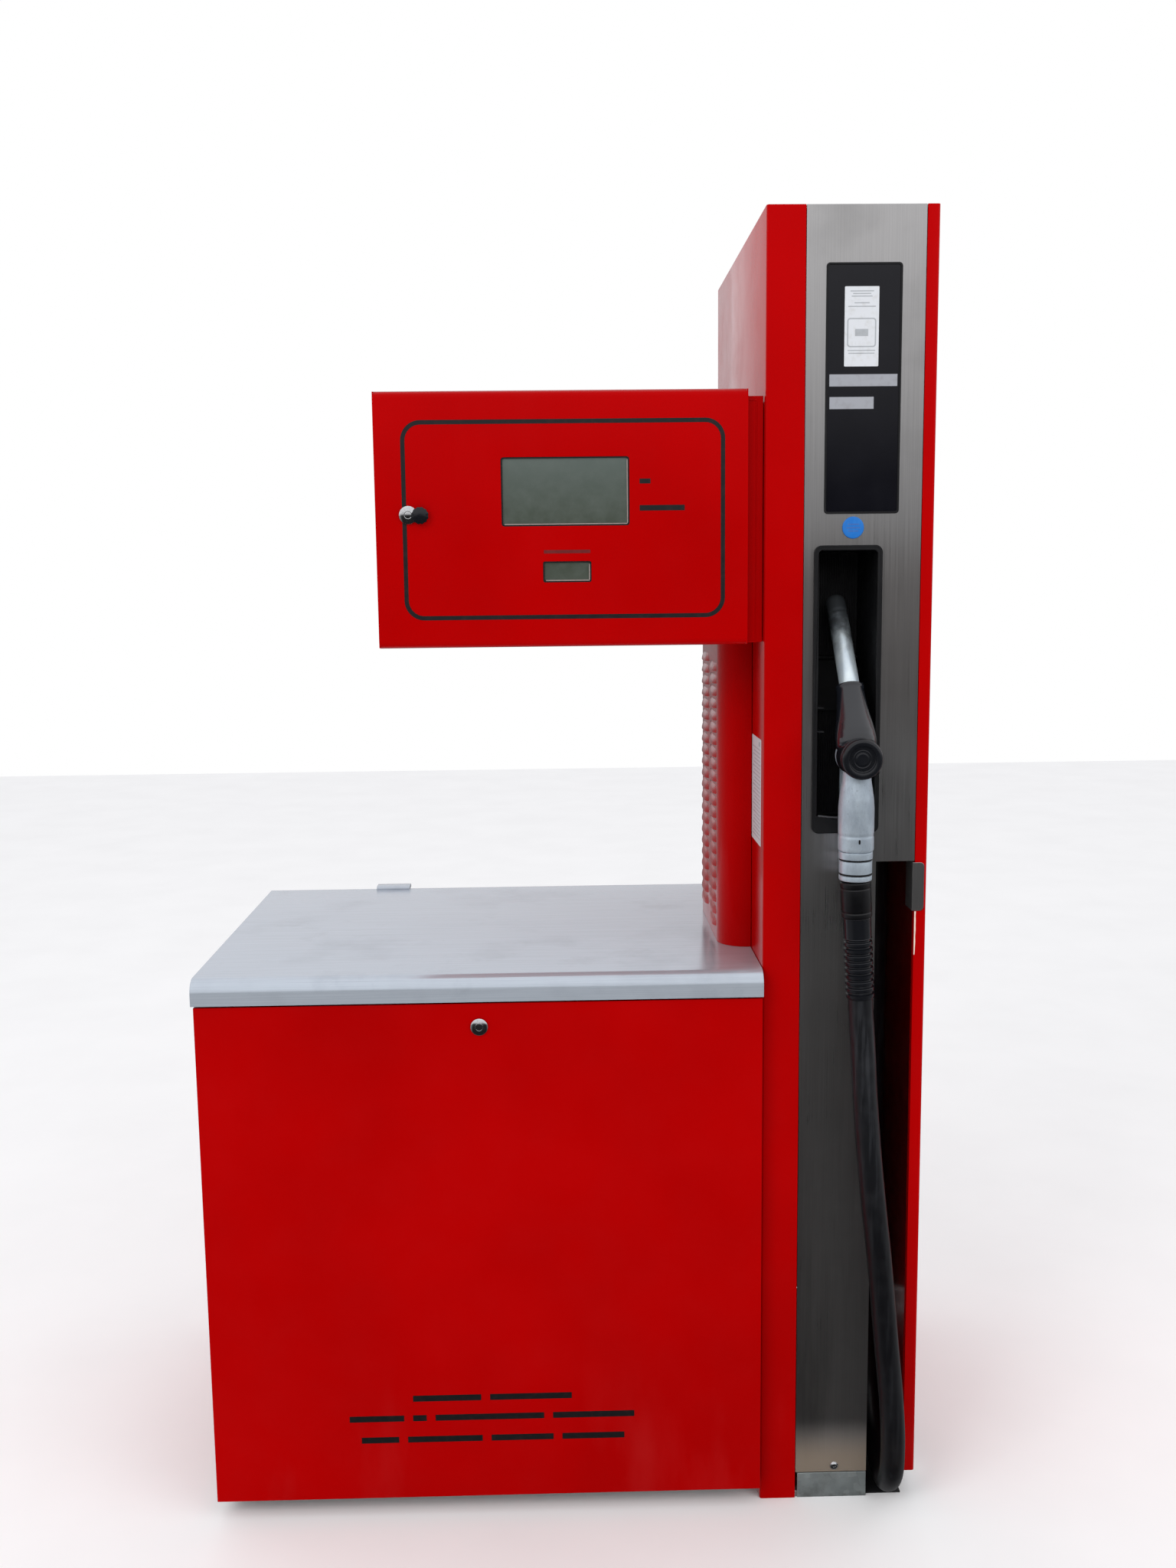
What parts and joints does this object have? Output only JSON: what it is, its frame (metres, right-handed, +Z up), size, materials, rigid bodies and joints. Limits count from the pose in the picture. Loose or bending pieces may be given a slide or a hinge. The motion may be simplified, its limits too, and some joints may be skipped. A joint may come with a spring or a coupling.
{
  "type": "fuel dispenser",
  "caption": "Fuel dispenser: low pump cabinet, tall hose column with a nozzle hung in its boot, and a display head held over the cabinet by a louvred post.",
  "frame": {"origin": "centre of the base at floor level", "axes": "+Z up, -Y towards the side with the nozzle and the display, +X towards the hose column"},
  "size_m": [1.118, 0.7336, 2],
  "materials": {
    "red_enamel": "gloss enamel",
    "stainless": "vertical brushed grain",
    "zinc_plate": "dull zinc plate",
    "black_paint": "matt",
    "black_plastic": "satin moulded",
    "cast_aluminium": "worn satin casting",
    "rubber": "matt, dusty",
    "dark_glass": "dark backed glass",
    "display_glass": "clear over a grey display",
    "blue_enamel": "gloss",
    "lock_chrome": "polished",
    "machine_grey": "painted casting",
    "box_plastic": "moulded, light grey",
    "cast_iron": "rough cast, painted"
  },
  "bodies": {
    "housing": {"column_left_panel": "red_enamel", "column_right_panel": "red_enamel", "column_cap": "red_enamel", "cabinet_left_panel": "red_enamel", "louvred_post": "red_enamel", "head_housing": "red_enamel", "column_fascia": "stainless", "column_rear_panel": "stainless", "fascia_screw": "stainless", "hose_guide_plate": "stainless", "cabinet_top": "stainless", "column_base": "zinc_plate", "sheave_axle": "zinc_plate", "cabinet_rail_front": "zinc_plate", "cabinet_rail_rear": "zinc_plate", "cabinet_base": "zinc_plate", "suction_pipe": "zinc_plate", "delivery_pipe": "zinc_plate", "head_mount_plate": "zinc_plate", "hose_channel_partition": "black_paint", "nozzle_boot": "black_plastic", "meter_pulser": "black_plastic", "cable_conduit": "black_plastic", "hose_outlet_fitting": "cast_aluminium", "flow_meter": "cast_aluminium", "solenoid_valve": "cast_aluminium", "fuel_hose": "rubber", "drive_belt": "rubber", "grade_panel": "dark_glass", "grade_marker": "blue_enamel", "pump_motor": "machine_grey", "pump_unit": "machine_grey", "junction_box": "box_plastic", "calculator_box": "box_plastic"},
    "cabinet_front": {"cabinet_front_panel": "red_enamel"},
    "cabinet_rear": {"cabinet_rear_panel": "red_enamel"},
    "cabinet_front_quarter_lock": {"cabinet_front_lock": "lock_chrome"},
    "cabinet_rear_quarter_lock": {"cabinet_rear_lock": "lock_chrome"},
    "display_door": {"head_front_door": "red_enamel", "main_display_lens": "display_glass", "price_display_lens": "display_glass", "display_module": "box_plastic"},
    "service_door": {"head_rear_door": "red_enamel"},
    "display_door_lock": {"head_front_lock": "lock_chrome"},
    "service_door_lock": {"head_rear_lock": "lock_chrome"},
    "dust_cap": {"head_lock_dust_cap": "black_plastic"},
    "nozzle": {"nozzle_body": "cast_aluminium", "nozzle_spout": "cast_aluminium", "nozzle_scuff_cover": "black_plastic", "nozzle_valve_cap": "black_plastic", "nozzle_swivel": "cast_aluminium"},
    "trigger": {"nozzle_trigger": "black_plastic"},
    "latch": {"nozzle_hold_latch": "zinc_plate"},
    "hose_end": {"hose_sleeve": "black_plastic", "hose_bend_restrictor": "rubber"},
    "switch_flap": {"boot_switch_flap": "black_plastic"},
    "sheave": {"hose_sheave": "zinc_plate"},
    "pump_shaft": {"pump_pulley": "cast_iron"},
    "motor_shaft": {"motor_pulley": "cast_iron"},
    "meter_shaft": {"meter_coupling": "zinc_plate"}
  },
  "joints": [
    {"name": "nozzle_lift", "type": "slide", "parent": "housing", "child": "nozzle", "axis": [0, 0, 1], "range_m": [0, 0.045]},
    {"name": "trigger_squeeze", "type": "hinge", "parent": "nozzle", "child": "trigger", "pos_m": [0.44025, -0.2818, 1.209], "axis": [-1, 0, 0], "range_deg": [0, 17], "stiffness_Nm_per_rad": 1.6, "springref_deg": -8.59},
    {"name": "latch_tip", "type": "hinge", "parent": "nozzle", "child": "latch", "pos_m": [0.44025, -0.2378, 1.123], "axis": [1, 0, 0], "range_deg": [0, 20], "stiffness_Nm_per_rad": 0.03, "springref_deg": -11.46},
    {"name": "hose_swivel", "type": "hinge", "parent": "nozzle", "child": "hose_end", "pos_m": [0.44025, -0.3228, 1.0244], "axis": [-0.0552, 0, 0.9985], "continuous": true},
    {"name": "switch_flap_swing", "type": "hinge", "parent": "housing", "child": "switch_flap", "pos_m": [0.44025, -0.1463, 1.347], "axis": [-1, 0, 0], "range_deg": [0, 21]},
    {"name": "cabinet_front_tilt", "type": "hinge", "parent": "housing", "child": "cabinet_front", "pos_m": [-0.1245, -0.2978, 0.031], "axis": [1, 0, 0], "range_deg": [0, 25]},
    {"name": "cabinet_rear_tilt", "type": "hinge", "parent": "housing", "child": "cabinet_rear", "pos_m": [-0.1245, 0.3622, 0.031], "axis": [-1, 0, 0], "range_deg": [0, 25]},
    {"name": "cabinet_front_lock_turn", "type": "hinge", "parent": "cabinet_front", "child": "cabinet_front_quarter_lock", "pos_m": [-0.125, -0.2978, 0.8024], "axis": [0, 1, 0], "range_deg": [0, 90]},
    {"name": "cabinet_rear_lock_turn", "type": "hinge", "parent": "cabinet_rear", "child": "cabinet_rear_quarter_lock", "pos_m": [-0.125, 0.3622, 0.8024], "axis": [0, 1, 0], "range_deg": [0, 90]},
    {"name": "display_door_swing", "type": "hinge", "parent": "housing", "child": "display_door", "pos_m": [0.283, -0.2768, 1.56], "axis": [0, 0, 1], "range_deg": [0, 95]},
    {"name": "service_door_swing", "type": "hinge", "parent": "housing", "child": "service_door", "pos_m": [0.283, 0.3412, 1.56], "axis": [0, 0, -1], "range_deg": [0, 95]},
    {"name": "display_door_lock_turn", "type": "hinge", "parent": "display_door", "child": "display_door_lock", "pos_m": [-0.213, -0.2778, 1.5688], "axis": [0, 1, 0], "range_deg": [0, 90]},
    {"name": "service_door_lock_turn", "type": "hinge", "parent": "service_door", "child": "service_door_lock", "pos_m": [-0.213, 0.3422, 1.5688], "axis": [0, 1, 0], "range_deg": [0, 90]},
    {"name": "dust_cap_swing", "type": "hinge", "parent": "display_door", "child": "dust_cap", "pos_m": [-0.20415, -0.2848, 1.5678], "axis": [0, 1, 0], "range_deg": [0, 180]},
    {"name": "sheave_spin", "type": "hinge", "parent": "housing", "child": "sheave", "pos_m": [0.522, 0.0572, 1.79], "axis": [1, 0, 0], "continuous": true},
    {"name": "pump_spin", "type": "hinge", "parent": "housing", "child": "pump_shaft", "pos_m": [0.049, -0.0878, 0.2], "axis": [0, 1, 0], "continuous": true},
    {"name": "motor_spin", "type": "hinge", "parent": "housing", "child": "motor_shaft", "pos_m": [-0.351, -0.0878, 0.136], "axis": [0, 1, 0], "continuous": true},
    {"name": "meter_spin", "type": "hinge", "parent": "housing", "child": "meter_shaft", "pos_m": [0.059, 0.1922, 0.636], "axis": [0, 0, 1], "continuous": true}
  ],
  "couplings": [
    {"joint": "switch_flap_swing", "follows": "nozzle_lift", "rad_per_m": 7.8},
    {"joint": "motor_spin", "follows": "pump_spin", "ratio": 2.338}
  ]
}
